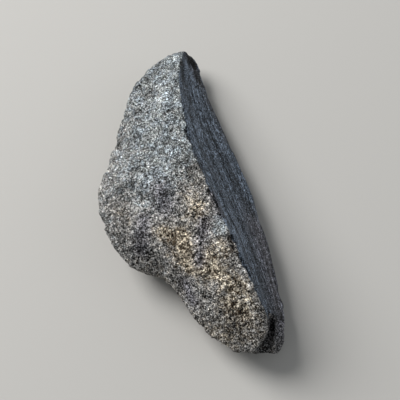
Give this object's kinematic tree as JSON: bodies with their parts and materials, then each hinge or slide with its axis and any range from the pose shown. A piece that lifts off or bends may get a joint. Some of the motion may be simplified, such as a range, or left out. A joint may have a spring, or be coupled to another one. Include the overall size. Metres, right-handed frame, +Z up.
{
  "type": "raw nuummite stone",
  "caption": "Raw chunk of dark metamorphic rock: a long wedge with a grainy front face, a smooth streaked cleavage face, a rounded belly and a cleft foot.",
  "frame": {"origin": "under the middle of the stone's bounding box, on the surface that it rests on", "axes": "+Y from the blunt foot to the tip, +X across the stone from the belly to the streaked cleavage face, +Z up, away from the resting face"},
  "size_m": [0.0638, 0.1352, 0.0383],
  "materials": {
    "nuummite": "rough broken surface, with one smoother streaked cleavage face"
  },
  "bodies": {
    "root": {"nuummite_stone": "nuummite"}
  },
  "joints": []
}
